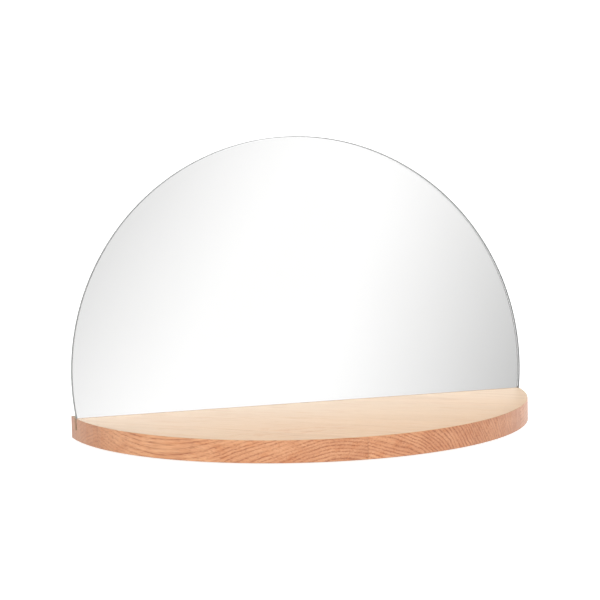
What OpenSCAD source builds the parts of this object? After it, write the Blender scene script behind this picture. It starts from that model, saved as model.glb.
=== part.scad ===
// Table mirror with shelf: a round mirror pane that stands, leaning back a little, in a groove
// across a half-round shelf board. The board is glued up from staves and stands on felt feet.
// +X runs along the mirror, +Y to its back and +Z up. The origin is at table height,
// under the middle of the whole outline.

/* [Mirror] */
// Radius of the round mirror pane
mirror_r = 200; // [170:1:215]
// Height of the pane's centre above the shelf top, along the glass
centre_rise = 29; // [15:1:60]
// Lean of the pane from the plumb, in degrees
lean = 7; // [3:0.5:9]
// Thickness of the float glass
glass_t = 4; // [3:0.5:6]
// Width of the polished bevel round both faces of the glass
glass_bevel = 0.6; // [0.3:0.1:1.2]
// Thickness of the silver coat with its lacquer
silver_t = 0.2; // [0.1:0.05:0.4]
// Bare rim between the glass bevel and the silver coat
silver_inset = 0.3; // [0.1:0.1:1]
// Thickness of the film that holds broken glass together
film_t = 0.3; // [0.1:0.05:0.6]
// Distance of the film's rim from the pane's rim
film_inset = 2; // [1.6:0.1:6]

/* [Shelf board] */
// Radius of the half-round board, about the middle of its straight back
shelf_r = 199; // [185:1:260]
// Thickness of the board
board_t = 19; // [16:0.5:30]
// Radius of the board's rounded edges
edge_round = 0.5; // [0.3:0.1:3]
// Distance from the straight back to the mirror's face, at the shelf top
mirror_setback = 16; // [12:0.5:40]

/* [Staves] */
// Width of the narrow stave at the front left; the next stave takes what the others leave
front_stave_w = 39.5; // [30:0.5:55]
// Width of the middle stave
middle_stave_w = 82.5; // [70:0.5:95]
// Width of the stave behind the middle one
rear_stave_w = 82.5; // [70:0.5:95]
// Width of the narrow stave in the back right corner
corner_stave_w = 29.5; // [20:0.5:45]
// Angle between the staves and the straight back, in degrees
stave_angle = 36; // [30:1:42]

/* [Groove] */
// Depth of the groove that holds the pane, along the glass
groove_depth = 10; // [7:0.5:13]
// Gap between the glass and the groove's front wall
front_gap = 0.3; // [0.1:0.05:0.8]
// Width of the chamfer that eases the groove's upper arrises
groove_ease = 0.5; // [0.2:0.1:1]
// Thickness of the felt strip behind the pane
felt_strip_t = 0.8; // [0.4:0.1:2]
// Depth of the felt strip's upper edge below the shelf top
felt_strip_drop = 1.5; // [0.5:0.5:4]
// Thickness of the pads and the sealant under the pane
bed_t = 1; // [0.5:0.1:2]
// Distance from the pane's ends to the ends of the felt strip and the sealant
bed_inset = 6; // [2:0.5:15]

/* [Setting pads] */
// Length of one setting pad
pad_len = 25; // [10:1:50]
// Distance between the middles of neighbouring setting pads
pad_step = 130; // [80:1:145]

/* [Feet] */
// Radius of a felt foot
foot_r = 10; // [6:0.5:14]
// Thickness of a felt foot
foot_t = 1.2; // [1:0.1:4]
// Thickness of the adhesive layer on a foot
glue_t = 0.3; // [0.1:0.05:0.8]
// Distance of a foot's middle from the board's edge
foot_inset = 22; // [17:1:30]
// Angle of each front foot from straight ahead, in degrees
front_foot_angle = 30; // [20:1:45]

/* [Hidden] */
$fn = 96;

wood = [0.88, 0.72, 0.57];
felt = [0.45, 0.44, 0.42];
pad_side = [-1, 0, 1];

// Heights above the table
board_z = foot_t + glue_t;
shelf_top_z = board_z + board_t;

// Layers behind the mirror's face, from the glass to the groove's back wall
silver_y = glass_t;
film_y = silver_y + silver_t;
pane_back_y = film_y + film_t;
groove_back_y = pane_back_y + felt_strip_t;

// The pane's straight foot and the groove's floor, below the shelf top along the glass
groove_floor_z = -groove_depth;
pane_foot_z = groove_floor_z + bed_t;

// The straight back lies where the whole outline, front edge to mirror top, is centred
film_top_z = centre_rise + mirror_r - film_inset;
overhang = film_top_z * sin(lean) + pane_back_y * cos(lean) - mirror_setback;
back_y = (shelf_r - overhang) / 2;
mirror_face_y = back_y - mirror_setback;

// Cutting blocks reach this far past what they cut
reach = 2 * max(shelf_r, mirror_r);

// Half length of a chord at the given distance from the middle of a circle
function half_chord(r, distance) = sqrt(r * r - distance * distance);

// The bed under and behind the pane ends inside both the pane and the board
pane_half = half_chord(mirror_r, centre_rise - pane_foot_z);
board_half = half_chord(shelf_r, mirror_setback);
bed_half = min(pane_half, board_half) - bed_inset;

// Glue joints, as distances across the staves from the middle of the straight back: the first is
// set off from the board's front, the others from its back right corner
joint_a = front_stave_w - shelf_r;
joint_d = shelf_r * sin(stave_angle) - corner_stave_w;
joint_c = joint_d - rear_stave_w;
joint_b = joint_c - middle_stave_w;

// Radius of the arc that the feet stand on
foot_arc_r = shelf_r - foot_inset;

// Places of the feet, from the middle of the straight back
foot_places = [
    for (side = [-1, 1]) [side * half_chord(foot_arc_r, foot_inset), -foot_inset],
    for (side = [-1, 1]) [side * foot_arc_r * sin(front_foot_angle), -foot_arc_r * cos(front_foot_angle)]
];

// ---- The board ----

// Half section of the round board with its outer corners rounded
module board_rim_section() {
    square([shelf_r - edge_round, board_t]);
    translate([0, edge_round])
        square([shelf_r, board_t - 2 * edge_round]);
    for (z = [edge_round, board_t - edge_round])
        translate([shelf_r - edge_round, z])
            circle(edge_round);
}

// Side view of the board, from far in front up to the straight back, its back corners rounded
module board_side_section() {
    translate([-reach, 0])
        square([reach - edge_round, board_t]);
    translate([-reach, edge_round])
        square([reach, board_t - 2 * edge_round]);
    for (z = [edge_round, board_t - edge_round])
        translate([-edge_round, z])
            circle(edge_round);
}

module half_round_board()
    translate([0, back_y, board_z])
        intersection() {
            rotate_extrude()
                board_rim_section();
            translate([-reach, 0, 0])
                rotate([90, 0, 90])
                    linear_extrude(2 * reach)
                        board_side_section();
        }

// Cross section of the slot for the pane, which widens from the chamfers up to well above the board
module groove_section()
    polygon([
        [-front_gap, groove_floor_z],
        [groove_back_y, groove_floor_z],
        [groove_back_y, -groove_ease],
        [groove_back_y + board_t, board_t - groove_ease],
        [-front_gap - board_t, board_t - groove_ease],
        [-front_gap, -groove_ease]
    ]);

// The open-ended slot, leaning as the pane leans
module groove()
    in_mirror_frame()
        translate([-reach, 0, 0])
            rotate([90, 0, 90])
                linear_extrude(2 * reach)
                    groove_section();

// The part of the grooved board between two glue joints
module stave(from, to)
    color(wood)
        intersection() {
            difference() {
                half_round_board();
                groove();
            }
            translate([0, back_y, 0])
                rotate([0, 0, -stave_angle])
                    translate([-reach, from, 0])
                        cube([2 * reach, to - from, reach]);
        }

module stave_front_left() stave(-reach, joint_a);
module stave_front() stave(joint_a, joint_b);
module stave_middle() stave(joint_b, joint_c);
module stave_rear() stave(joint_c, joint_d);
module stave_corner() stave(joint_d, reach);

// ---- The mirror pane ----

// Children are placed in the mirror's own frame: x along it, y to its back, z up along the glass,
// from the line where its face meets the shelf top
module in_mirror_frame()
    translate([0, mirror_face_y, shelf_top_z])
        rotate([-lean, 0, 0])
            children();

// One layer of the pane: a disc, bevelled on both faces and cut straight at the pane's foot
module pane_layer(r, thickness, bevel = 0)
    intersection() {
        translate([0, 0, centre_rise])
            rotate([-90, 0, 0])
                rotate_extrude()
                    polygon([
                        [0, 0],
                        [r - bevel, 0],
                        [r, bevel],
                        [r, thickness - bevel],
                        [r - bevel, thickness],
                        [0, thickness]
                    ]);
        translate([-reach, -reach, pane_foot_z])
            cube(2 * reach);
    }

module mirror_glass()
    color([0.80, 0.88, 0.87])
        in_mirror_frame()
            pane_layer(mirror_r, glass_t, glass_bevel);

module mirror_silvering()
    color([0.75, 0.76, 0.77])
        in_mirror_frame()
            translate([0, silver_y, 0])
                pane_layer(mirror_r - glass_bevel - silver_inset, silver_t);

module safety_film()
    color([0.62, 0.65, 0.68])
        in_mirror_frame()
            translate([0, film_y, 0])
                pane_layer(mirror_r - film_inset, film_t);

// ---- What beds the pane in the groove ----

// A bar in the groove between two places along it
module groove_bar(from_x, to_x, y, z, depth, height)
    in_mirror_frame()
        translate([from_x, y, z])
            cube([to_x - from_x, depth, height]);

module felt_strip()
    color(felt)
        groove_bar(-bed_half, bed_half, pane_back_y, pane_foot_z,
                   felt_strip_t, -felt_strip_drop - pane_foot_z);

// A bar on the groove's floor, as wide as the groove
module floor_bar(from_x, to_x)
    groove_bar(from_x, to_x, -front_gap, groove_floor_z, front_gap + groove_back_y, bed_t);

module setting_pads()
    color([0.20, 0.20, 0.20])
        for (side = pad_side)
            floor_bar(side * pad_step - pad_len / 2, side * pad_step + pad_len / 2);

// Sealant fills the groove's floor between the setting pads and out to the bed's ends
module groove_sealant()
    color([0.90, 0.90, 0.88]) {
        for (side = [0, 1])
            floor_bar((side - 1) * pad_step + pad_len / 2, side * pad_step - pad_len / 2);
        floor_bar(-bed_half, -pad_step - pad_len / 2);
        floor_bar(pad_step + pad_len / 2, bed_half);
    }

// ---- The feet ----

module foot_discs(z, thickness)
    for (place = foot_places)
        translate([place[0], back_y + place[1], z])
            cylinder(h = thickness, r = foot_r);

module felt_feet()
    color(felt)
        foot_discs(0, foot_t);

module foot_adhesive()
    color([0.93, 0.92, 0.88])
        foot_discs(foot_t, glue_t);

stave_front_left();
stave_front();
stave_middle();
stave_rear();
stave_corner();
mirror_glass();
mirror_silvering();
safety_film();
felt_strip();
setting_pads();
groove_sealant();
felt_feet();
foot_adhesive();
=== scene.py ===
"""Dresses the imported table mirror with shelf: its finishes, a pale studio and the camera.

Lengths are in metres and angles in degrees, unless a docstring says otherwise. The frame is that of the
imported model: +X along the mirror, +Y to its back and +Z up, with the table top at height zero.
"""

import logging
import math
from dataclasses import dataclass
from enum import Enum
from functools import partial, reduce
from typing import Sequence

import bpy
import numpy as np
from mathutils import Matrix, Vector


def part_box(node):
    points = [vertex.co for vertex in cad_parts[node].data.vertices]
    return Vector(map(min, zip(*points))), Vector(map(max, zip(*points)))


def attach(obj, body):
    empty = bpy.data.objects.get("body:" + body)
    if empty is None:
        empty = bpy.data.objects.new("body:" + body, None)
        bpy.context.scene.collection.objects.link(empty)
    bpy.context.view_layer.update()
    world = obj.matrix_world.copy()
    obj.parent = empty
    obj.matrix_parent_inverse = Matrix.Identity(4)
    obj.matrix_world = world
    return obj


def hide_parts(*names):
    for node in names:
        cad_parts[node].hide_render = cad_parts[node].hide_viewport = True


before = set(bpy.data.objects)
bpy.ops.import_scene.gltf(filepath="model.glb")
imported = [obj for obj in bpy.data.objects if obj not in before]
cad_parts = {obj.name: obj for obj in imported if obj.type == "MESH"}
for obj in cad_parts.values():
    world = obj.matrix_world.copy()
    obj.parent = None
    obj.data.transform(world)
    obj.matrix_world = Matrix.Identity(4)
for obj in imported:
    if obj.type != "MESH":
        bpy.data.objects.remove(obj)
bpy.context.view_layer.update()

LOG = logging.getLogger("table_mirror")
BODY = "root"
MM = 0.001
WHITE = (1.0, 1.0, 1.0, 1.0)
GLASS_IOR = 1.52
SHARP_ANGLE = 35.0
BOUNCES = {"max_bounces": 14, "transmission_bounces": 12, "glossy_bounces": 8}

# The Mix node's colour sockets stand behind those for numbers and vectors
MIX_FACTOR, MIX_FIRST, MIX_SECOND, MIX_RESULT = 0, 6, 7, 2

Colour = tuple[float, float, float, float]
Triple = tuple[float, float, float]
Pair = tuple[float, float]
Material = bpy.types.Material
Socket = bpy.types.NodeSocket
Level = Socket | float


class Slot(str, Enum):
    """The names of the record's material slots for the pane's layers, which the layers are given but don't
    read.
    """

    GLASS = "clear_glass"
    SILVER = "silvering"
    FILM = "backing_film"
    FELT = "grey_felt"


def rgb(red: float, green: float, blue: float) -> Colour:
    """A linear colour with full cover, from its parts between 0 and 1."""
    return (red, green, blue, 1.0)


def even(cells: float) -> Triple:
    """The same number of noise cells per metre along all three axes."""
    return (cells, cells, cells)


# ---- Node graphs ----


@dataclass(frozen=True)
class Step:
    """A smooth step: from start, at or below low, to end, at or above high."""

    low: float
    high: float
    start: float = 0.0
    end: float = 1.0


@dataclass(frozen=True)
class Line:
    """A straight line: slope times a number, plus base."""

    slope: float
    base: float


class Graph:
    """The nodes of one material or world, added by short calls that return an output socket."""

    def __init__(self, owner: Material | bpy.types.World) -> None:
        """Starts an empty node tree.

        Args:
            owner: The material or world that the nodes belong to.
        """
        owner.use_nodes = True
        self.tree = owner.node_tree
        self.tree.nodes.clear()

    def node(self, kind: str, inputs: dict[str | int, object], **settings: object) -> bpy.types.Node:
        """Adds a node, and sets or links its inputs.

        Args:
            kind: The node's type without its "ShaderNode" start.
            inputs: The value or the socket that goes into each input.
            **settings: The node's own properties.

        Returns:
            The new node.
        """
        made = self.tree.nodes.new("ShaderNode" + kind)
        for name, value in settings.items():
            setattr(made, name, value)
        for key, value in inputs.items():
            if isinstance(value, bpy.types.NodeSocket):
                self.tree.links.new(value, made.inputs[key])
            else:
                made.inputs[key].default_value = value
        return made

    def math(self, operation: str, *numbers: Level) -> Socket:
        """One step of arithmetic."""
        return self.node("Math", dict(enumerate(numbers)), operation=operation).outputs[0]

    def vector(self, operation: str, *vectors: object) -> Socket:
        """One step of vector arithmetic, which gives a number for a length and for a dot product."""
        output = "Value" if operation in ("LENGTH", "DOT_PRODUCT") else "Vector"
        return self.node("VectorMath", dict(enumerate(vectors)), operation=operation).outputs[output]

    def product(self, *factors: Level) -> Level:
        """Multiplies numbers, from left to right."""
        return reduce(partial(self.math, "MULTIPLY"), factors)

    def line(self, value: Level, line: Line) -> Socket:
        """Puts a number through a straight line."""
        return self.math("MULTIPLY_ADD", value, line.slope, line.base)

    def step(self, value: Level, step: Step) -> Socket:
        """Puts a number through a smooth step."""
        inputs = {"Value": value, "From Min": step.low, "From Max": step.high,
                  "To Min": step.start, "To Max": step.end}
        return self.node("MapRange", inputs, interpolation_type="SMOOTHSTEP").outputs["Result"]

    def noise(self, at: Socket, detail: float = 2.0, rough: float = 0.5) -> bpy.types.Node:
        """Smooth noise at a place in cells, from the number of finer layers and their weight."""
        return self.node("TexNoise", {"Vector": at, "Detail": detail, "Roughness": rough, "Scale": 1.0})

    def mix(self, factor: Level, a: object, b: object, blend: str = "MIX") -> Socket:
        """Mixes a share of the second colour into the first; blend names the way that they mix."""
        inputs = {MIX_FACTOR: factor, MIX_FIRST: a, MIX_SECOND: b}
        return self.node("Mix", inputs, data_type="RGBA", blend_type=blend).outputs[MIX_RESULT]

    def times(self, colour: object, tint: object) -> Socket:
        """Multiplies a colour by a tint."""
        return self.mix(1.0, colour, tint, "MULTIPLY")

    def tinted(self, colour: Socket, tint: Colour, weight: Level) -> Socket:
        """Multiplies a colour by a tint, as far as a weight from 0 to 1 says."""
        return self.mix(weight, colour, self.times(colour, tint))

    def object_place(self) -> Socket:
        """The place on the piece, in metres of the frame."""
        return self.node("TexCoord", {}).outputs["Object"]

    def stretched(self, at: Socket, cells: Triple, shift: float = 0.0) -> Socket:
        """Scales a place to cells per metre; a shift in cells picks another part of the noise."""
        return self.vector("MULTIPLY_ADD", at, cells, (shift, shift, shift))

    def bump(self, height: Socket, depth: float, strength: float) -> Socket:
        """A normal that leans with a height, of which 1 stands for a depth in metres."""
        return self.node("Bump", {"Height": height, "Distance": depth, "Strength": strength}).outputs[0]

    def surface(self, shader: bpy.types.Node, output: str = "OutputMaterial") -> None:
        """Joins a shader's first output to the output node."""
        self.tree.links.new(shader.outputs[0], self.node(output, {}).inputs["Surface"])

    def principled(self, inputs: dict[str, object]) -> None:
        """Finishes a material with one Principled shader."""
        self.surface(self.node("BsdfPrincipled", inputs))


@dataclass(frozen=True)
class Pattern:
    """One noise of a finish: its cells per metre, its finer layers, and the step that it sets in by."""

    cells: Triple
    detail: float = 2.0
    rough: float = 0.5
    shift: float = 0.0
    step: Step = Step(0.35, 0.65)

    def noise(self, graph: Graph, at: Socket, seed: float = 0.0) -> bpy.types.Node:
        """Adds the noise at a place in metres, shifted by a seed besides the pattern's own shift."""
        return graph.noise(graph.stretched(at, self.cells, seed + self.shift), self.detail, self.rough)

    def weight(self, graph: Graph, at: Socket, seed: float = 0.0) -> Socket:
        """Adds the noise and its step."""
        return graph.step(self.noise(graph, at, seed).outputs["Fac"], self.step)


class Finish:
    """A finish with a name in plain words, which paints the graph of its material."""

    name: str

    def paint(self, graph: Graph) -> None:
        """Adds the finish's nodes to an empty graph."""
        raise NotImplementedError

    def material(self) -> Material:
        """Makes the material.

        Returns:
            The painted material.
        """
        made = bpy.data.materials.new(self.name)
        self.paint(Graph(made))
        return made


# ---- The oak ----


@dataclass(frozen=True)
class OakGrain:
    """The oak's figure, the same in every stave. Cells are along the grain, across the stave and up.

    A share is what a feature weighs on the flat faces, and what is added to that on an upright edge; a
    cover is how far it hides what lies under it.
    """

    slow_bend: Pattern = Pattern((3.5, 22.0, 22.0))
    slow_reach: float = 11 * MM
    fine_bend: Pattern = Pattern((14.0, 150.0, 150.0))
    fine_reach: float = 2.1 * MM
    drift_cells: float = 55.0
    drift_years: float = 2.2

    spring: Step = Step(0.06, 0.34, 1.0, 0.0)
    next_spring: Step = Step(0.93, 1.0)
    strong_years: Step = Step(0.0, 1.0, 0.5, 1.0)
    ragged: Pattern = Pattern((45.0, 620.0, 620.0), 3.0, 0.7, step=Step(0.38, 0.60, 0.28))
    fading: Pattern = Pattern((14.0, 130.0, 130.0), shift=3.0, step=Step(0.34, 0.58, 0.30))
    ring_share: Line = Line(1.25, 0.45)
    summer: Step = Step(0.38, 0.52)
    autumn: Step = Step(0.62, 0.80, 1.0, 0.0)
    summer_weight: float = 0.65
    summer_cover: float = 0.45

    ray_cells: Triple = (150.0, 60.0, 110.0)
    rays: Step = Step(0.56, 0.70)
    ray_share: Line = Line(0.25, 0.20)
    dashes: Pattern = Pattern((40.0, 1050.0, 1050.0), 2.0, 0.6, 5.0, Step(0.54, 0.70))
    dash_share: Line = Line(0.34, 0.10)
    pore_cells: Triple = (75.0, 1900.0, 1900.0)
    pore: Step = Step(0.16, 0.42, 1.0, 0.0)
    pores_by_spring: Line = Line(0.9, 0.08)
    pore_cover: float = 0.62

    fibre: Pattern = Pattern((9.0, 900.0, 900.0), 4.0, 0.65, step=Step(0.25, 0.75, 0.62, 0.0))
    fibre_share: Line = Line(0.6, 0.4)
    clouds: Pattern = Pattern((2.2, 26.0, 26.0), 3.0, shift=7.0, step=Step(0.25, 0.75, 0.34, 0.0))
    waves: Pattern = Pattern((26.0, 150.0, 150.0), 3.0, 0.6, 9.0, Step(0.50, 0.72, 0.0, 0.75))
    wild: Pattern = Pattern((85.0, 130.0, 0.0), 3.0, 0.65, 4.0, Step(0.48, 0.62))
    wild_middle: Pair = (-52 * MM, 150 * MM)
    wild_reach: Pair = (72 * MM, 34 * MM)
    wild_fade: Step = Step(0.35, 1.0, 1.0, 0.0)

    roughness_by_pore: Line = Line(0.20, 0.42)
    fibre_relief: float = 0.25
    pore_relief: float = -0.7
    relief_depth: float = 0.12 * MM
    relief_strength: float = 0.6


@dataclass(frozen=True)
class OakTones:
    """The oiled oak's colours and tints, some of them painted light and shade, and where on the board these
    set in.
    """

    latewood: Colour = rgb(0.66, 0.46, 0.300)
    earlywood: Colour = rgb(0.42, 0.235, 0.132)
    pore: Colour = rgb(0.25, 0.110, 0.055)
    ray: Colour = rgb(0.74, 0.54, 0.36)
    # Painted shade: the groove's walls, darker than the oiled wood.
    groove_painted_shade: Colour = rgb(0.47, 0.30, 0.20)

    shade_tint: Colour = rgb(0.84, 0.71, 0.58)
    wave_tint: Colour = rgb(0.91, 0.77, 0.64)
    wild_tint: Colour = rgb(0.93, 0.79, 0.64)
    # Painted light: the flat faces' tint runs from the first of these at the board's front to the second,
    # paler one at the mirror's foot, as if lit from the mirror.
    painted_top_light_front: Colour = rgb(0.735, 0.653, 0.482)
    painted_top_light_mirror: Colour = rgb(0.704, 0.755, 0.782)
    # Partly painted shade: the upright edges are darker and redder than the top, partly from their deeper
    # oil.
    edge_oil_and_painted_shade: Colour = rgb(0.905, 0.678, 0.545)
    blotch_tint: Colour = rgb(0.90, 0.83, 0.79)
    end_tint: Colour = rgb(0.86, 0.80, 0.80)
    # Painted shade: the left end's edge, darker where less light falls from the left.
    left_end_painted_shade: Colour = rgb(0.83, 0.75, 0.65)
    # Painted shade: faces that look down, from the lower arris on, are darkened.
    underside_painted_shade: Colour = rgb(0.66, 0.58, 0.53)

    # Painted light: the depth over which the flat faces' tint changes.
    painted_top_light_depth: Step = Step(0.0, 185 * MM)
    blotches: Pattern = Pattern((42.0, 42.0, 90.0), 3.0, step=Step(0.38, 0.62))
    # Painted shade: where the left end's darkening stops.
    left_end_shade_inner: float = -174 * MM
    faint_inner: float = -140 * MM
    faintest: float = 0.5

    ior: float = 1.5
    sheen: float = 0.12
    sheen_roughness: float = 0.40
    sheen_tint: Colour = rgb(1.0, 0.94, 0.86)


@dataclass(frozen=True)
class BoardFaces:
    """Tells in a material's graph where on the board a point lies, as weights from 0 to 1.

    Its places come from centre_y, the Y of the middle of the straight back.
    """

    graph: Graph
    centre_y: float
    upright: Step = Step(0.1, 0.9, 1.0, 0.0)
    end_grain: Step = Step(0.25, 0.95)
    downward: Step = Step(0.05, 0.5)
    wall: Step = Step(0.90, 0.95)
    groove_reach: Step = Step(5 * MM, 6 * MM, 1.0, 0.0)
    glue_line: Step = Step(0.05 * MM, 0.35 * MM, 0.80, 1.0)
    left_tip: float = -198 * MM

    def facing(self, way: Triple) -> Socket:
        """The cosine of the angle between the surface's normal and one way."""
        normal = self.graph.node("TexCoord", {}).outputs["Normal"]
        return self.graph.vector("DOT_PRODUCT", normal, way)

    def along(self, way: Triple) -> Socket:
        """The place's distance along one way, in metres from the frame's origin."""
        return self.graph.vector("DOT_PRODUCT", self.graph.object_place(), way)

    def apart(self, value: Level, other: Level) -> Socket:
        """How far two numbers are apart."""
        return self.graph.math("ABSOLUTE", self.graph.math("SUBTRACT", value, other))

    def edge(self) -> Socket:
        """1 on an upright edge, which is routed and takes up more oil, and 0 on the flat faces. The edge's
        darker, redder tint is partly that oil and partly painted shade.
        """
        upright = self.graph.math("ABSOLUTE", self.facing((0.0, 0.0, 1.0)))
        return self.graph.step(upright, self.upright)

    def cut_ends(self, grain_angle: float) -> Socket:
        """Where the surface cuts the grain.

        Args:
            grain_angle: The angle between the grain and the straight back.

        Returns:
            1 on end grain and 0 on long grain.
        """
        across = math.radians(grain_angle)
        cut = self.graph.math("ABSOLUTE", self.facing((math.cos(across), -math.sin(across), 0.0)))
        return self.graph.step(cut, self.end_grain)

    def underside(self) -> Socket:
        """1 where the surface faces down, from the lower arris on, and 0 on the upright edge."""
        return self.graph.step(self.facing((0.0, 0.0, -1.0)), self.downward)

    def left_end(self, inner: float) -> Socket:
        """1 at the left tip, whose wood is less figured and whose edge is darkened by painted shade, and 0
        from inner on.
        """
        return self.graph.step(self.along((1.0, 0.0, 0.0)), Step(self.left_tip, inner, 1.0, 0.0))

    def depth(self) -> Socket:
        """The distance in front of the straight back, in metres."""
        return self.graph.math("ADD", self.along((0.0, -1.0, 0.0)), self.centre_y)

    def ellipse(self, middle: Pair, reach: Pair) -> Socket:
        """The distance from the middle of an ellipse on the board, 1 on its rim.

        Args:
            middle: The middle's X, and how far it lies in front of the straight back.
            reach: Half the ellipse's size along X and Y.

        Returns:
            The distance.
        """
        shift = (-middle[0] / reach[0], (self.centre_y - middle[1]) / reach[1], 0.0)
        scale = (1 / reach[0], -1 / reach[1], 0.0)
        place = self.graph.vector("MULTIPLY_ADD", self.graph.object_place(), scale, shift)
        return self.graph.vector("LENGTH", place)

    def groove_walls(self) -> Socket:
        """Where the surface is one of the groove's two walls, which the oil doesn't reach and which are
        painted darker as the groove's shade.

        Returns:
            1 on the walls and 0 elsewhere.
        """
        wall = self.graph.math("ABSOLUTE", self.facing((0.0, 1.0, 0.0)))
        groove_y = self.centre_y - MirrorPane.setback + 0.5 * MirrorPane.glass
        near = self.graph.step(self.apart(self.along((0.0, 1.0, 0.0)), groove_y), self.groove_reach)
        return self.graph.product(self.graph.step(wall, self.wall), near)

    def glue_lines(self, joints: Sequence[float]) -> Level:
        """A thin dark line at each glue joint, from the distance to the joint's plane.

        Args:
            joints: The joints' distances across the staves, from the middle of the straight back.

        Returns:
            The shade that the lines leave, 1 away from them.
        """
        slope = math.radians(Shelf.stave_angle)
        place = self.along((math.sin(slope), math.cos(slope), 0.0))
        place = self.graph.math("SUBTRACT", place, self.centre_y * math.cos(slope))
        lines = [self.graph.step(self.apart(place, joint), self.glue_line) for joint in joints]
        return self.graph.product(1.0, *lines)


@dataclass(frozen=True)
class StaveFinish(Finish):
    """Oiled oak of one stave: how it was sawn from the tree, and its own tone and part of the noise.

    The middle of the straight back lies at centre_y. The pith, the middle of the tree, lies pith_across
    from there, across the staves, and at pith_height. climb is the angle by which it slopes.
    """

    name: str
    centre_y: float
    grain_angle: float
    pith_across: float
    pith_height: float
    joints: tuple[float, ...]
    climb: float
    ring_pitch: float
    tone: float
    seed: float
    contrast: float = 1.0

    def paint(self, graph: Graph) -> None:
        """Adds the nodes of the stave's wood."""
        StaveWood(self, graph).build()


class StaveWood:
    """Builds one stave's wood: growth rings round the tree's pith, as a solid pattern, under the oil.

    In the stave's own axes u runs along the grain, v across the stave and w up. A point's ring is its
    distance from the pith, sqrt(v^2 + w^2), over the rings' pitch, after noise has bent the place.
    """

    def __init__(self, finish: StaveFinish, graph: Graph) -> None:
        """Starts with the places that the wood is worked out from.

        Args:
            finish: The stave's finish.
            graph: Its material's graph.
        """
        self.finish = finish
        self.grain = OakGrain()
        self.tones = OakTones()
        self.graph = graph
        self.faces = BoardFaces(graph, finish.centre_y)
        self.edge = self.faces.edge()
        self.at = self.stave_place()

    def stave_place(self) -> Socket:
        """Turns the place on the piece into the stave's own axes, with the pith along u.

        Returns:
            The place (u, v, w) in metres.
        """
        finish = self.finish
        across = math.radians(finish.grain_angle)
        pith = Vector((finish.pith_across * math.sin(across),
                       finish.centre_y + finish.pith_across * math.cos(across), finish.pith_height))
        turn = Matrix.Rotation(math.radians(finish.climb), 3, "Y") @ Matrix.Rotation(across, 3, "Z")
        inputs = {"Vector": self.graph.object_place(), "Location": -(turn @ pith),
                  "Rotation": turn.to_euler("XYZ")}
        return self.graph.node("Mapping", inputs).outputs[0]

    def weight(self, pattern: Pattern) -> Socket:
        """A pattern's weight in the stave's axes and its own part of the noise."""
        return pattern.weight(self.graph, self.at, self.finish.seed)

    def rings(self) -> tuple[Socket, Socket, Socket]:
        """The growth rings and the rays that cross them.

        Returns:
            The share of the year that has passed at a point, 0 to 1, the year's number, and the place
            among the rays: along the grain, round the pith and away from it, each in cells.
        """
        grain, graph = self.grain, self.graph
        bent = self.at
        for pattern, reach in ((grain.slow_bend, grain.slow_reach), (grain.fine_bend, grain.fine_reach)):
            noise = pattern.noise(graph, self.at, self.finish.seed).outputs["Color"]
            bent = graph.vector("MULTIPLY_ADD", noise, (0.0, reach, reach), bent)
        radius = graph.vector("LENGTH", graph.vector("MULTIPLY", bent, (0.0, 1.0, 1.0)))
        inputs = {"W": radius, "Scale": grain.drift_cells, "Detail": 1.0}
        drift = graph.node("TexNoise", inputs, noise_dimensions="1D").outputs["Fac"]
        age = graph.math("DIVIDE", radius, self.finish.ring_pitch)
        age = graph.math("MULTIPLY_ADD", drift, grain.drift_years, age)
        parts = graph.node("SeparateXYZ", {0: bent}).outputs
        angle = graph.math("ARCTAN2", parts["Z"], parts["Y"])
        places = zip((parts["X"], angle, radius), grain.ray_cells)
        cells = [graph.product(place, count) for place, count in places]
        among_rays = graph.node("CombineXYZ", dict(enumerate(cells))).outputs[0]
        return graph.math("FRACT", age), graph.math("FLOOR", age), among_rays

    def springwood(self, season: Socket, year: Socket, shown: Socket) -> Socket:
        """The open, darker wood of each spring: broken lines, stronger in some years than in others.

        Args:
            season: The share of the year that has passed.
            year: The year's number.
            shown: How clearly the rings show.

        Returns:
            Its weight.
        """
        grain, graph = self.grain, self.graph
        early = graph.math("MAXIMUM", graph.step(season, grain.spring), graph.step(season, grain.next_spring))
        broken = graph.product(self.weight(grain.ragged), self.weight(grain.fading))
        random_year = graph.node("TexWhiteNoise", {"W": year}, noise_dimensions="1D").outputs["Value"]
        early = graph.product(early, broken, graph.step(random_year, grain.strong_years))
        return graph.math("MINIMUM", graph.product(early, shown), 1.0)

    def pores(self, early: Socket) -> Socket:
        """The pores, which are the middles of long thin cells, nearly all in the springwood.

        Args:
            early: The springwood's weight.

        Returns:
            Their weight.
        """
        grain, graph = self.grain, self.graph
        inputs = {"Vector": graph.stretched(self.at, grain.pore_cells), "Scale": 1.0}
        cells = graph.node("TexVoronoi", inputs)
        opened = graph.step(cells.outputs["Distance"], grain.pore)
        return graph.product(opened, graph.line(early, grain.pores_by_spring))

    def sawn(self) -> tuple[Socket, Socket]:
        """The wood as sawn: its rings, with the ray flecks, dashes and pores over them.

        Returns:
            The colour, and the pores' weight.
        """
        grain, tones, graph = self.grain, self.tones, self.graph
        season, year, among_rays = self.rings()
        clear = Step(0.0, 1.0, self.finish.contrast, tones.faintest)
        clearness = graph.step(self.faces.left_end(tones.faint_inner), clear)
        shown = graph.product(graph.line(self.edge, grain.ring_share), clearness)
        early = self.springwood(season, year, shown)
        summer = graph.product(graph.step(season, grain.summer), graph.step(season, grain.autumn))
        summer = graph.product(summer, graph.product(shown, grain.summer_weight))
        rays = graph.noise(among_rays, detail=1.0).outputs["Fac"]
        fleck = graph.product(graph.step(rays, grain.rays), graph.line(self.edge, grain.ray_share))
        dash = graph.product(self.weight(grain.dashes), graph.line(self.edge, grain.dash_share))
        pores = self.pores(early)
        colour = graph.mix(early, tones.latewood, tones.earlywood)
        colour = graph.mix(graph.product(summer, grain.summer_cover), colour, tones.ray)
        colour = graph.mix(fleck, colour, tones.ray)
        colour = graph.mix(dash, colour, tones.pore)
        return graph.mix(graph.product(pores, grain.pore_cover), colour, tones.pore), pores

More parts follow.
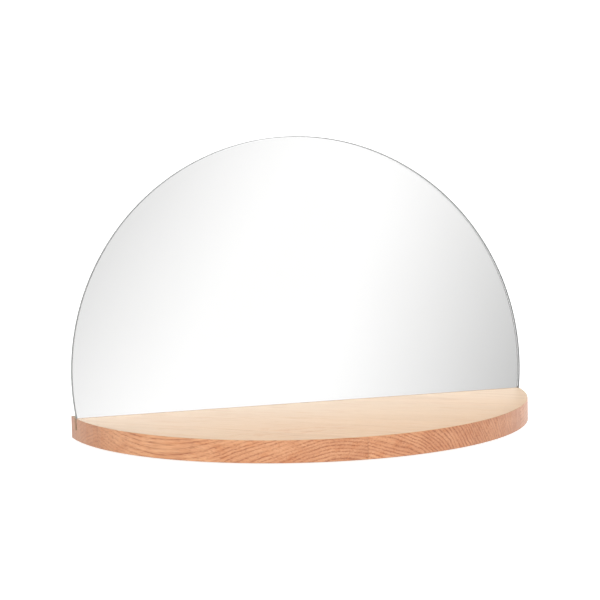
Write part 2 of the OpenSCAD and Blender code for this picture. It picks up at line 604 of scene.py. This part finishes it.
    def streaked(self, colour: Socket, fibre: Socket) -> Socket:
        """Dims the wood along its fibres and in clouds, and warms it in waves and one patch of wild grain.

        Args:
            colour: The wood as sawn.
            fibre: The height of the fibres.

        Returns:
            The streaked colour.
        """
        grain, tones, graph = self.grain, self.tones, self.graph
        fibres = graph.product(graph.step(fibre, grain.fibre.step), graph.line(self.edge, grain.fibre_share))
        dim = graph.math("ADD", fibres, self.weight(grain.clouds))
        near = graph.step(self.faces.ellipse(grain.wild_middle, grain.wild_reach), grain.wild_fade)
        flecks = grain.wild.weight(graph, graph.object_place())
        wild = graph.product(near, flecks, graph.math("SUBTRACT", 1.0, self.edge))
        colour = graph.tinted(colour, tones.shade_tint, dim)
        colour = graph.tinted(colour, tones.wave_tint, self.weight(grain.waves))
        return graph.tinted(colour, tones.wild_tint, wild)

    def oiled(self, colour: Socket) -> Socket:
        """Lays the stave's tone, the glue lines, the oil and painted light and shade over the wood, and
        paints the groove's walls in shade.

        On the flat faces painted light makes the wood palest at the mirror's foot and warmer and darker
        towards the board's front. The edges' tint is partly painted shade, and the left end's edge, the faces
        that look down and the groove's walls are darkened as painted shade.

        Args:
            colour: The streaked wood.

        Returns:
            The finished colour.
        """
        tones, graph, faces = self.tones, self.graph, self.faces
        shade = graph.product(self.finish.tone, faces.glue_lines(self.finish.joints))
        grey = graph.node("CombineColor", {0: shade, 1: shade, 2: shade}).outputs[0]
        colour = graph.times(colour, grey)
        # Painted light: the flat faces are palest at the mirror's foot and warmer towards the front.
        painted_top_light = graph.mix(graph.step(faces.depth(), tones.painted_top_light_depth), tones.painted_top_light_mirror, tones.painted_top_light_front)
        # Partly painted shade: the edges' tint, darker and redder than the top.
        colour = graph.mix(self.edge, graph.times(colour, painted_top_light), graph.times(colour, tones.edge_oil_and_painted_shade))
        blotches = tones.blotches.weight(graph, graph.object_place(), self.finish.seed)
        for weight, tint in (
            (graph.product(self.edge, blotches), tones.blotch_tint),
            (faces.cut_ends(self.finish.grain_angle), tones.end_tint),
            # Painted shade: the left end's edge is darkened.
            (graph.product(self.edge, faces.left_end(tones.left_end_shade_inner)), tones.left_end_painted_shade),
            # Painted shade on the faces that look down.
            (faces.underside(), tones.underside_painted_shade),
        ):
            colour = graph.tinted(colour, tint, weight)
        # Painted shade on the groove's walls.
        return graph.mix(faces.groove_walls(), colour, tones.groove_painted_shade)

    def build(self) -> None:
        """Puts the wood together, with a relief of raised fibres and sunken pores."""
        grain, tones, graph = self.grain, self.tones, self.graph
        fibre = grain.fibre.noise(graph, self.at, self.finish.seed).outputs["Fac"]
        colour, pores = self.sawn()
        colour = self.oiled(self.streaked(colour, fibre))
        sunken = graph.product(pores, grain.pore_relief)
        relief = graph.math("MULTIPLY_ADD", fibre, grain.fibre_relief, sunken)
        graph.principled({
            "Base Color": colour, "Roughness": graph.line(pores, grain.roughness_by_pore),
            "Normal": graph.bump(relief, grain.relief_depth, grain.relief_strength), "IOR": tones.ior,
            "Sheen Weight": tones.sheen, "Sheen Roughness": tones.sheen_roughness,
            "Sheen Tint": tones.sheen_tint})


# ---- The other finishes ----


@dataclass(frozen=True)
class GlassFinish(Finish):
    """Clear float glass, with the faintest smears on its faces."""

    name: str = "clear_float_glass"
    smears: Pattern = Pattern(even(40.0), 3.0, step=Step(0.55, 0.8))
    smear_roughness: float = 0.004

    def paint(self, graph: Graph) -> None:
        """Adds the nodes."""
        rough = graph.product(self.smears.weight(graph, graph.object_place()), self.smear_roughness)
        graph.principled({
            "Base Color": WHITE, "Roughness": rough, "IOR": GLASS_IOR, "Transmission Weight": 1.0})


@dataclass(frozen=True)
class GroundRimFinish(Finish):
    """The pane's ground rim: matt grey glass that lets light through, with lines from the grinding belt.

    Below the shelf top, where it is bedded in the groove, it is painted dark as the groove's shade.
    """

    shelf_top: float
    name: str = "ground_glass_rim"
    dark: Colour = rgb(0.125, 0.129, 0.127)
    light: Colour = rgb(0.19, 0.195, 0.192)
    # Painted shade: the rim below the shelf top, in the groove.
    bedded_painted_shade: Colour = rgb(0.065, 0.038, 0.026)
    shade_fade: float = 2.0 * MM
    lines: Pattern = Pattern((300.0, 5000.0, 300.0), 3.0, 0.7)
    line_depth: float = 0.03 * MM
    line_strength: float = 0.4
    roughness: float = 0.45
    clearness: float = 0.45

    def paint(self, graph: Graph) -> None:
        """Adds the nodes: the grinding lines, and the painted shade where the rim is bedded.

        Args:
            graph: The material's graph.
        """
        at = graph.object_place()
        lines = self.lines.noise(graph, at).outputs["Fac"]
        colour = graph.mix(graph.step(lines, self.lines.step), self.dark, self.light)
        height = graph.node("SeparateXYZ", {0: at}).outputs["Z"]
        above = graph.step(height, Step(self.shelf_top - self.shade_fade, self.shelf_top))
        graph.principled({
            "Base Color": graph.mix(above, self.bedded_painted_shade, colour), "Roughness": self.roughness,
            "IOR": GLASS_IOR, "Transmission Weight": self.clearness,
            "Normal": graph.bump(lines, self.line_depth, self.line_strength)})


@dataclass(frozen=True)
class SilverFinish(Finish):
    """The silver coat seen through the glass."""

    name: str = "silver_coat"
    silver: Colour = rgb(0.955, 0.955, 0.95)
    bright: Colour = rgb(0.965, 0.965, 0.962)
    ripple: Pattern = Pattern(even(9.0), 1.0, step=Step(0.3, 0.7))

    def paint(self, graph: Graph) -> None:
        """Adds the nodes."""
        tint = graph.mix(self.ripple.weight(graph, graph.object_place()), self.silver, self.bright)
        graph.principled({"Base Color": tint, "Metallic": 1.0, "Roughness": 0.0})


@dataclass(frozen=True)
class FilmFinish(Finish):
    """Grey safety film with a fine woven scrim pressed into it."""

    name: str = "woven_safety_film"
    thread: Colour = rgb(0.36, 0.38, 0.40)
    ground: Colour = rgb(0.27, 0.29, 0.31)
    cloud: Colour = rgb(0.45, 0.47, 0.48)
    threads_per_metre: float = 900.0
    weave: Step = Step(-0.9, 0.9)
    weave_depth: float = 0.05 * MM
    weave_strength: float = 0.5
    clouds: Pattern = Pattern(even(18.0), 4.0, step=Step(0.35, 0.75, 0.0, 0.25))
    roughness: float = 0.62

    def paint(self, graph: Graph) -> None:
        """Adds the nodes: two sets of crossed waves, sin(x) and sin(z), make the scrim.

        Args:
            graph: The material's graph.
        """
        at = graph.object_place()
        axes = graph.node("SeparateXYZ", {0: at}).outputs
        pitch = 2 * math.pi * self.threads_per_metre
        warp, weft = (graph.math("SINE", graph.product(axes[axis], pitch)) for axis in "XZ")
        weave = graph.step(graph.product(warp, weft), self.weave)
        colour = graph.mix(weave, self.ground, self.thread)
        colour = graph.mix(self.clouds.weight(graph, at), colour, self.cloud)
        graph.principled({
            "Base Color": colour, "Roughness": self.roughness,
            "Normal": graph.bump(weave, self.weave_depth, self.weave_strength)})


@dataclass(frozen=True)
class FeltFinish(Finish):
    """Pressed grey wool felt."""

    name: str = "pressed_grey_felt"
    dark: Colour = rgb(0.085, 0.082, 0.078)
    light: Colour = rgb(0.26, 0.25, 0.24)
    mottle: Pattern = Pattern(even(420.0), 4.0, 0.7)
    fibres: Pattern = Pattern((2600.0, 500.0, 1500.0), 3.0, 0.7)
    tones: Step = Step(0.38, 0.64)
    nap_depth: float = 0.3 * MM
    nap_strength: float = 0.8
    roughness: float = 0.95
    sheen: float = 0.35
    sheen_roughness: float = 0.5

    def paint(self, graph: Graph) -> None:
        """Adds the nodes: the mean of mottled wool and of fine crossed fibres.

        Args:
            graph: The material's graph.
        """
        at = graph.object_place()
        mottle, fibres = (pattern.noise(graph, at).outputs["Fac"] for pattern in (self.mottle, self.fibres))
        both = graph.math("MULTIPLY_ADD", fibres, 0.5, graph.product(mottle, 0.5))
        graph.principled({
            "Base Color": graph.mix(graph.step(both, self.tones), self.dark, self.light),
            "Roughness": self.roughness, "Sheen Weight": self.sheen, "Sheen Roughness": self.sheen_roughness,
            "Normal": graph.bump(both, self.nap_depth, self.nap_strength)})


@dataclass(frozen=True)
class MouldedFinish(Finish):
    """A moulded or cured material: lacquer, rubber, sealant or foam, mottled and dimpled by one noise."""

    name: str
    low: Colour
    high: Colour
    roughness: float
    cells: float
    depth: float
    dimple_strength: float = 0.6

    def paint(self, graph: Graph) -> None:
        """Adds the nodes: one noise for both the mottling and the dimples.

        Args:
            graph: The material's graph.
        """
        grain = Pattern(even(self.cells), 4.0, 0.6)
        height = grain.noise(graph, graph.object_place()).outputs["Fac"]
        graph.principled({
            "Base Color": graph.mix(graph.step(height, grain.step), self.low, self.high),
            "Roughness": self.roughness, "Normal": graph.bump(height, self.depth, self.dimple_strength)})


LACQUER = MouldedFinish(
    "grey_lacquer", rgb(0.17, 0.18, 0.18), rgb(0.23, 0.24, 0.24), roughness=0.4, cells=300.0, depth=0.01 * MM)
RUBBER = MouldedFinish(
    "setting_rubber", rgb(0.018, 0.018, 0.018), rgb(0.035, 0.034, 0.033), roughness=0.7, cells=900.0,
    depth=0.08 * MM)
SEALANT = MouldedFinish(
    "cured_sealant", rgb(0.66, 0.66, 0.63), rgb(0.74, 0.74, 0.72), roughness=0.35, cells=160.0,
    depth=0.15 * MM)
ADHESIVE = MouldedFinish(
    "foam_adhesive", rgb(0.70, 0.68, 0.60), rgb(0.82, 0.80, 0.73), roughness=0.8, cells=2200.0,
    depth=0.1 * MM)


# ---- Pieces ----


def mesh_piece(name: str, points: np.ndarray, faces: Sequence[Sequence[int]],
               materials: Sequence[Material], node: str, choice: np.ndarray | None = None) -> None:
    """Makes a piece that stands for a CAD node and rides on the body.

    Args:
        name: The piece's name.
        points: Its vertices, one row each.
        faces: Its faces, as rows of vertex numbers that run anticlockwise seen from outside.
        materials: Its materials.
        node: The CAD node that it replaces.
        choice: Which of the materials each face has; the first one where it is left out.
    """
    mesh = bpy.data.meshes.new(name)
    mesh.from_pydata(points.tolist(), [], faces)
    mesh.polygons.foreach_set("use_smooth", np.ones(len(mesh.polygons), dtype=bool))
    for material in materials:
        mesh.materials.append(material)
    if choice is not None:
        mesh.polygons.foreach_set("material_index", choice.astype(np.int32))
    mesh.set_sharp_from_angle(angle=math.radians(SHARP_ANGLE))
    mesh.validate()
    piece = bpy.data.objects.new(name, mesh)
    bpy.context.scene.collection.objects.link(piece)
    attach(piece, BODY)
    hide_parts(node)
    LOG.info("piece %s: %d vertices, %d faces", name, len(mesh.vertices), len(mesh.polygons))


def ring_faces(rings: int, around: int, first: int = 0) -> list[list[int]]:
    """Joins closed rings of points into a wall, and closes both ends with one face each.

    Args:
        rings: The number of rings.
        around: The points in a ring.
        first: The number of the first vertex.

    Returns:
        The faces, outwards if the rings run anticlockwise seen from the first ring's outer side. The
        last two are the first ring's end and the last ring's end.
    """
    row, column = np.meshgrid(np.arange(rings - 1), np.arange(around), indexing="ij")
    after = (column + 1) % around
    quads = np.stack([row * around + after, row * around + column,
                      (row + 1) * around + column, (row + 1) * around + after], axis=-1)
    start = np.arange(around)
    ends = [(start + first).tolist(), (start[::-1] + (rings - 1) * around + first).tolist()]
    return (quads.reshape(-1, 4) + first).tolist() + ends


def dress(node: str, material: Material) -> None:
    """Gives a CAD node its material.

    Args:
        node: The node's name.
        material: Its material.
    """
    mesh_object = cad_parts[node]
    if not mesh_object.material_slots:
        mesh_object.data.materials.append(material)
    for slot in mesh_object.material_slots:
        slot.material = material
    LOG.info("node %s: %s", node, material.name)


# ---- The mirror pane ----


@dataclass(frozen=True)
class Seat:
    """How the pane stands in its groove: the pane's own frame of x along it, y to its back and z up it.

    That frame starts on the line where the pane's face meets the shelf top.
    """

    face_y: float
    shelf_top: float
    lean: float = 7.0

    def placed(self, x: np.ndarray, y: np.ndarray, z: np.ndarray) -> np.ndarray:
        """Leans points of the pane's frame into place.

        A point goes to Y = face_y + y cos(lean) + z sin(lean) and
        Z = shelf_top - y sin(lean) + z cos(lean).

        Args:
            x: Places along the pane.
            y: Depths behind its face.
            z: Places up the pane.

        Returns:
            The points, with their coordinates on the last axis.
        """
        lean = math.radians(self.lean)
        return np.stack([x, self.face_y + y * math.cos(lean) + z * math.sin(lean),
                         self.shelf_top - y * math.sin(lean) + z * math.cos(lean)], axis=-1)


@dataclass
class MirrorPane:
    """The pane's layers: glass, silver coat and safety film."""

    seat: Seat
    radius: float = 200 * MM
    setback: float = 16 * MM
    centre_rise: float = 29 * MM
    foot_drop: float = 9 * MM
    glass: float = 4 * MM
    bevel: float = 0.6 * MM
    silver: float = 0.2 * MM
    silver_inset: float = 0.3 * MM
    film: float = 0.3 * MM
    film_inset: float = 2 * MM
    coat_gap: float = 0.02 * MM
    around: int = 960
    foot_points: int = 120

    def outline(self, radius: float) -> np.ndarray:
        """A circle about the pane's centre, cut by the straight foot.

        The arc's angle runs at an even rate between the foot's two ends, radius * (cos, sin), and the
        foot is a straight run between them.

        Args:
            radius: The circle's radius.

        Returns:
            Points (x, z) in the pane's own frame, anticlockwise seen from its face.
        """
        dip = math.asin((self.foot_drop + self.centre_rise) / radius)
        angle = np.linspace(-dip, math.pi + dip, self.around - self.foot_points)
        arc = np.stack([radius * np.cos(angle), self.centre_rise + radius * np.sin(angle)], axis=-1)
        share = np.linspace(0.0, 1.0, self.foot_points + 2)[1:-1, None]
        return np.concatenate([arc, arc[-1] * (1 - share) + arc[0] * share])

    def layer(self, node: str, profile: Sequence[Pair], slot: Slot, *materials: Material,
              back: int = 0) -> None:
        """Builds one layer, by carrying the outline along a profile of radius and depth.

        Args:
            node: The CAD node that the layer stands for.
            profile: Pairs of radius and depth behind the face, from front to back.
            slot: The layer's slot; not used.
            *materials: The material of its front face, and that of its rim if it is another.
            back: Which of them its back face has.
        """
        rings = []
        for radius, depth in profile:
            x, z = self.outline(radius).T
            rings.append(self.seat.placed(x, np.full_like(x, depth), z))
        faces = ring_faces(len(profile), self.around)
        choice = np.full(len(faces), len(materials) - 1)
        choice[-2:] = (0, back)
        mesh_piece(node + "_pane", np.concatenate(rings), faces, materials, node, choice)

    def build(self) -> None:
        """Builds the three layers, from front to back."""
        rim, bevel, coat_back = self.radius, self.bevel, self.glass + self.silver
        profile = [(rim - bevel, 0.0), (rim, bevel), (rim, self.glass - bevel), (rim - bevel, self.glass)]
        ground = GroundRimFinish(self.seat.shelf_top).material()
        self.layer("mirror_glass", profile, Slot.GLASS, GlassFinish().material(), ground)
        coat = rim - bevel - self.silver_inset
        profile = [(coat, self.glass + self.coat_gap), (coat, coat_back)]
        lacquer = LACQUER.material()
        self.layer("mirror_silvering", profile, Slot.SILVER, SilverFinish().material(), lacquer, back=1)
        sheet = rim - self.film_inset
        profile = [(sheet, coat_back), (sheet, coat_back + self.film)]
        self.layer("safety_film", profile, Slot.FILM, FilmFinish().material())


# ---- The felt ----


@dataclass
class FeltFeet:
    """The four pressed felt discs that the board stands on."""

    back_y: float
    radius: float = 10 * MM
    thickness: float = 1.2 * MM
    corner: float = 0.35 * MM
    wave: float = 0.12 * MM
    board_radius: float = 199 * MM
    inset: float = 22 * MM
    front_angle: float = 30.0
    around: int = 96
    corner_steps: int = 5

    def places(self) -> np.ndarray:
        """The feet's middles on an arc inside the board's edge: two near its back, two at its front.

        Returns:
            One row (x, y) for each foot.
        """
        arc = self.board_radius - self.inset
        front = math.radians(self.front_angle)
        rear_x = math.sqrt(arc ** 2 - self.inset ** 2)
        rows = ((rear_x, self.inset), (arc * math.sin(front), arc * math.cos(front)))
        return np.array([(side * x, self.back_y - y) for x, y in rows for side in (-1, 1)])

    def disc(self, index: int) -> np.ndarray:
        """One foot's rings of points, from its sole up.

        Its rim turns over quarter circles at the sole and the top, and waves in and out by the sum of
        two sines, wave * (2 + sin(3a + i) + sin(7a + 2i)) / 4 inside the full radius at the angle a.

        Args:
            index: The foot's number, which shifts the waves.

        Returns:
            The vertices about the foot's own middle.
        """
        angle = np.linspace(0.0, 2 * math.pi, self.around, endpoint=False)
        rim = self.radius - self.wave * (2 + np.sin(3 * angle + index) + np.sin(7 * angle + 2 * index)) / 4
        turn = np.linspace(0.0, math.pi / 2, self.corner_steps)
        inset = self.corner * (1 - np.sin(turn))
        height = self.corner * (1 - np.cos(turn))
        inset = np.concatenate([inset, inset[::-1]])[:, None]
        height = np.concatenate([height, self.thickness - height[::-1]])[:, None]
        reach = rim[None, :] - inset
        return np.stack([reach * np.cos(angle), reach * np.sin(angle),
                         np.broadcast_to(height, reach.shape)], axis=-1).reshape(-1, 3)

    def build(self, felt: Material) -> None:
        """Builds the feet as one piece.

        Args:
            felt: Their material.
        """
        rings = 2 * self.corner_steps
        points, faces = [], []
        for index, (x, y) in enumerate(self.places()):
            faces += [face[::-1] for face in ring_faces(rings, self.around, index * rings * self.around)]
            points.append(self.disc(index) + (x, y, 0.0))
        mesh_piece("pressed_felt_feet", np.concatenate(points), faces, [felt], "felt_feet")


@dataclass
class FeltStrip:
    """The felt strip that is pressed in behind the pane."""

    seat: Seat
    half_length: float = 190.3 * MM
    front: float = 4.5 * MM
    thickness: float = 0.8 * MM
    foot: float = -9 * MM
    head: float = -1.5 * MM
    wave: float = 0.25 * MM
    steps: int = 420
    around: int = 20

    def build(self, felt: Material) -> None:
        """Builds the strip: a rounded bar along x whose upper edge is pressed in unevenly.

        Its section is a box with corners rounded by the superellipse |c|^(1/2), |s|^(1/2) of the
        angle's cosine and sine. The upper edge dips by wave * (2 + sin(900x) + sin(2170x)) / 4.

        Args:
            felt: Its material.
        """
        x = np.linspace(-self.half_length, self.half_length, self.steps)[:, None]
        angle = np.linspace(0.0, 2 * math.pi, self.around, endpoint=False)[None, :]
        across = np.sign(np.cos(angle)) * np.sqrt(np.abs(np.cos(angle)))
        upright = np.sign(np.sin(angle)) * np.sqrt(np.abs(np.sin(angle)))
        head = self.head - self.wave * (2 + np.sin(900 * x) + np.sin(2170 * x)) / 4
        y = self.front + self.thickness * (1 + across) / 2 + 0 * x
        z = self.foot + (head - self.foot) * (1 + upright) / 2
        points = self.seat.placed(x + 0 * y, y, z).reshape(-1, 3)
        faces = [face[::-1] for face in ring_faces(self.steps, self.around)]
        mesh_piece("pressed_felt_strip", points, faces, [felt], "felt_strip")


# ---- The shelf ----


@dataclass
class Shelf:
    """The glued board, what beds the pane in it, and its feet."""

    back_y: float
    seat: Seat
    stave_angle: float = 36.0
    front_joint: float = -159.5 * MM
    corner_joint: float = 87.47 * MM
    stave_width: float = 82.5 * MM

    def finishes(self) -> dict[str, StaveFinish]:
        """The wood of each stave, whose joints are counted from the board's front to its corner.

        Returns:
            Each stave's finish, by its node.
        """
        a, d = self.front_joint, self.corner_joint
        b, c = d - 2 * self.stave_width, d - self.stave_width
        angle, centre = self.stave_angle, self.back_y
        return {
            "stave_front_left": StaveFinish(
                "oak_front_left", centre, angle + 13, -134 * MM, -29 * MM, (a,), climb=0.6,
                ring_pitch=2.7 * MM, tone=0.985, seed=3.0, contrast=1.2),
            "stave_front": StaveFinish(
                "oak_front", centre, angle, -165 * MM, -29 * MM, (a, b), climb=-1.1,
                ring_pitch=2.9 * MM, tone=1.01, seed=11.0, contrast=1.45),
            "stave_middle": StaveFinish(
                "oak_middle", centre, angle, -150 * MM, -40 * MM, (b, c), climb=0.9,
                ring_pitch=2.9 * MM, tone=0.985, seed=23.0),
            "stave_rear": StaveFinish(
                "oak_rear", centre, angle, 30 * MM, -90 * MM, (c, d), climb=-0.8,
                ring_pitch=3.6 * MM, tone=1.04, seed=31.0),
            "stave_corner": StaveFinish(
                "oak_corner", centre, angle, 70 * MM, -60 * MM, (d,), climb=0.7,
                ring_pitch=3.9 * MM, tone=1.01, seed=43.0),
        }

    def build(self) -> None:
        """Dresses the staves and what is bedded under the pane and the board."""
        for node, finish in self.finishes().items():
            dress(node, finish.material())
        dress("setting_pads", RUBBER.material())
        dress("groove_sealant", SEALANT.material())
        dress("foot_adhesive", ADHESIVE.material())
        felt = FeltFinish().material()
        FeltFeet(self.back_y).build(felt)
        FeltStrip(self.seat).build(felt)


# ---- The studio ----


@dataclass(frozen=True)
class SkyPatch:
    """A part of the surround with a light of its own: which way it lies, and how that light sets in.

    The step follows the dot product of a way from the object and the patch's own.
    """

    way: Triple
    step: Step


@dataclass(frozen=True)
class LightLoss:
    """How the card's light falls off to one side: by weight * max(0, run - start)^power.

    run is the distance from the card's middle in metres, to its right and down at the angle where side
    is 1, and to its left and up where side is -1.
    """

    side: int
    angle: float
    start: float
    weight: float
    power: float


@dataclass
class Studio:
    """The pale floor, the white surround, one large soft light and the card that the mirror shows."""

    floor_half: float = 9.0
    floor_tone: float = 0.40
    floor_roughness: float = 0.8
    floor_glow: float = 0.85

    lamp_place: Triple = (-0.5, -1.1, 2.4)
    lamp_size: float = 2.4
    lamp_watts: float = 26.0

    surround: float = 1.0
    front_gain: SkyPatch = SkyPatch((-0.35, -0.78, 0.52), Step(0.0, 0.85, 0.0, 0.55))
    left_loss: SkyPatch = SkyPatch((-0.95, 0.30, -0.10), Step(0.2, 0.95, 0.0, 0.55))
    rear_loss: SkyPatch = SkyPatch((0.0, 0.40, 0.92), Step(0.62, 0.95, 0.0, 0.45))

    mirror_middle: Triple = (0.0, 0.0873, 0.1168)
    card_distance: float = 4.2
    card_turn: float = 15.90
    card_rise: float = 5.91
    card_half: float = 0.9
    card_fade: float = 0.62
    card_level: float = 1.05
    card_least: float = 0.45
    left_card_loss: LightLoss = LightLoss(-1, 33.4, 0.130, 1.308, 1.25)
    right_card_loss: LightLoss = LightLoss(1, 22.1, 0.112, 1.390, 1.23)

    def build(self) -> None:
        """Builds the whole studio."""
        self.world()
        self.floor()
        self.lamp()
        self.card()

    def world(self) -> None:
        """The white surround, brightest from the front and a little to the left, weakest far to the left."""
        world = bpy.data.worlds.new("white_surround")
        bpy.context.scene.world = world
        graph = Graph(world)
        way = graph.node("TexCoord", {}).outputs["Generated"]
        front, left, rear = (
            graph.step(graph.vector("DOT_PRODUCT", way, patch.way), patch.step)
            for patch in (self.front_gain, self.left_loss, self.rear_loss))
        change = graph.math("SUBTRACT", graph.math("SUBTRACT", front, left), rear)
        level = graph.math("ADD", self.surround, change)
        graph.surface(graph.node("Background", {"Color": WHITE, "Strength": level}), "OutputWorld")

    def square(self, name: str, middle: Vector, side: Vector, up: Vector, half: float,
               material: Material) -> bpy.types.Object:
        """Makes a flat square of the studio, with corners at middle +- half * side +- half * up.

        Args:
            name: Its name.
            middle: Its middle.
            side: The unit vector along two of its sides.
            up: The one along the others, so that side x up points to the object.
            half: Half the length of a side.
            material: Its material.

        Returns:
            The stage piece.
        """
        turns = ((-1, -1), (1, -1), (1, 1), (-1, 1))
        corners = [tuple(middle + side * (half * x) + up * (half * y)) for x, y in turns]
        mesh = bpy.data.meshes.new(name)
        mesh.from_pydata(corners, [], [(0, 1, 2, 3)])
        mesh.materials.append(material)
        made = bpy.data.objects.new(name, mesh)
        bpy.context.scene.collection.objects.link(made)
        return made

    def floor(self) -> None:
        """The pale light table, far larger than the view: a white sheet that glows a little from below."""
        material = bpy.data.materials.new("pale_light_table")
        Graph(material).principled({
            "Base Color": rgb(self.floor_tone, self.floor_tone, self.floor_tone),
            "Roughness": self.floor_roughness,
            "Emission Color": WHITE, "Emission Strength": self.floor_glow})
        side, back = Vector((1.0, 0.0, 0.0)), Vector((0.0, 1.0, 0.0))
        self.square("pale_floor", Vector(), side, back, self.floor_half, material)

    def lamp(self) -> None:
        """The soft light overhead, a little in front and to the left, aimed at the frame's origin."""
        data = bpy.data.lights.new("soft_light", "AREA")
        data.shape = "DISK"
        data.size = self.lamp_size
        data.energy = self.lamp_watts
        lamp = bpy.data.objects.new("soft_light", data)
        lamp.location = self.lamp_place
        lamp.rotation_euler = (-Vector(self.lamp_place)).to_track_quat("-Z", "Y").to_euler()
        bpy.context.scene.collection.objects.link(lamp)

    def card_light(self, graph: Graph, across: Socket, height: Socket) -> Socket:
        """The card's level, 1 less the loss to each side, and never below its least.

        Args:
            graph: The card's graph.
            across: The place across the card, in metres to the right of its middle.
            height: The place up the card, in metres above its middle.

        Returns:
            The emission's strength.
        """
        level: Level = 1.0
        for loss in (self.left_card_loss, self.right_card_loss):
            slope = math.radians(loss.angle)
            run = graph.product(across, loss.side * math.cos(slope))
            run = graph.math("MULTIPLY_ADD", height, -loss.side * math.sin(slope), run)
            run = graph.math("MAXIMUM", graph.math("SUBTRACT", run, loss.start), 0.0)
            lost = graph.product(graph.math("POWER", run, loss.power), loss.weight)
            level = graph.math("SUBTRACT", level, lost)
        return graph.product(graph.math("MAXIMUM", level, self.card_least), self.card_level)

    def card(self) -> None:
        """The lit card in front of the mirror, square to its reflected view, whose rim fades out.

        The camera doesn't see the card itself.
        """
        turn, rise = math.radians(self.card_turn), math.radians(self.card_rise)
        ahead = Vector((math.sin(turn) * math.cos(rise), -math.cos(turn) * math.cos(rise), math.sin(rise)))
        side = Vector((math.cos(turn), math.sin(turn), 0.0))
        up = ahead.cross(side)
        middle = Vector(self.mirror_middle) + ahead * self.card_distance
        material = bpy.data.materials.new("lit_card")
        graph = Graph(material)
        place = graph.vector("SUBTRACT", graph.object_place(), tuple(middle))
        across, height = (graph.vector("DOT_PRODUCT", place, tuple(axis)) for axis in (side, up))
        level = self.card_light(graph, across, height)
        glow = graph.node("Emission", {"Color": WHITE, "Strength": level})
        fade = graph.step(graph.vector("LENGTH", place), Step(self.card_fade, self.card_half))
        clear = graph.node("BsdfTransparent", {})
        graph.surface(graph.node("MixShader", {0: fade, 1: glow.outputs[0], 2: clear.outputs[0]}))
        self.square("reflected_card", middle, side, up, self.card_half, material).visible_camera = False


# ---- The camera ----


@dataclass(frozen=True)
class PhotoCamera:
    """The photograph's camera: where it stands from the middle of the mirror's foot, and where it looks.

    heading, pitch and roll are in radians.
    """

    mirror_foot: Vector
    offset: Triple = (-0.82818, -2.88275, 0.49550)
    heading: float = 0.2799
    pitch: float = -0.13468
    roll: float = -0.02338
    focal_pixels: float = 3538.31
    image_pixels: float = 600.0
    sensor_mm: float = 36.0
    sight: float = 100.0

    def build(self) -> None:
        """Makes the camera and gives it to the scene."""
        look = Vector((math.sin(self.heading) * math.cos(self.pitch),
                       math.cos(self.heading) * math.cos(self.pitch), math.sin(self.pitch)))
        level = Vector((math.cos(self.heading), -math.sin(self.heading), 0.0))
        upright = level.cross(look)
        right = level * math.cos(self.roll) + upright * math.sin(self.roll)
        up = upright * math.cos(self.roll) - level * math.sin(self.roll)
        data = bpy.data.cameras.new("photo_camera")
        data.sensor_width = self.sensor_mm
        data.lens = self.focal_pixels / self.image_pixels * self.sensor_mm
        data.clip_end = self.sight
        camera = bpy.data.objects.new("photo_camera", data)
        place = self.mirror_foot + Vector(self.offset)
        camera.matrix_world = Matrix.Translation(place) @ Matrix((right, up, -look)).transposed().to_4x4()
        bpy.context.scene.collection.objects.link(camera)
        bpy.context.scene.camera = camera


def set_colour_and_bounces() -> None:
    """Sets how light levels become colours, how often light may turn in the glass, and a sharp mirror."""
    scene = bpy.context.scene
    scene.view_settings.view_transform = "Standard"
    for name, count in BOUNCES.items():
        setattr(scene.cycles, name, count)
    scene.cycles.blur_glossy = 0.0


def main() -> None:
    """Builds the camera, the studio and the object's pieces in order."""
    logging.basicConfig(level=logging.INFO, format="%(message)s")
    set_colour_and_bounces()
    board_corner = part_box("stave_rear")[1]
    seat = Seat(board_corner.y - MirrorPane.setback, board_corner.z)
    PhotoCamera(Vector((0.0, seat.face_y, seat.shelf_top))).build()
    Studio().build()
    Shelf(board_corner.y, seat).build()
    MirrorPane(seat).build()


if __name__ == "__main__":
    main()
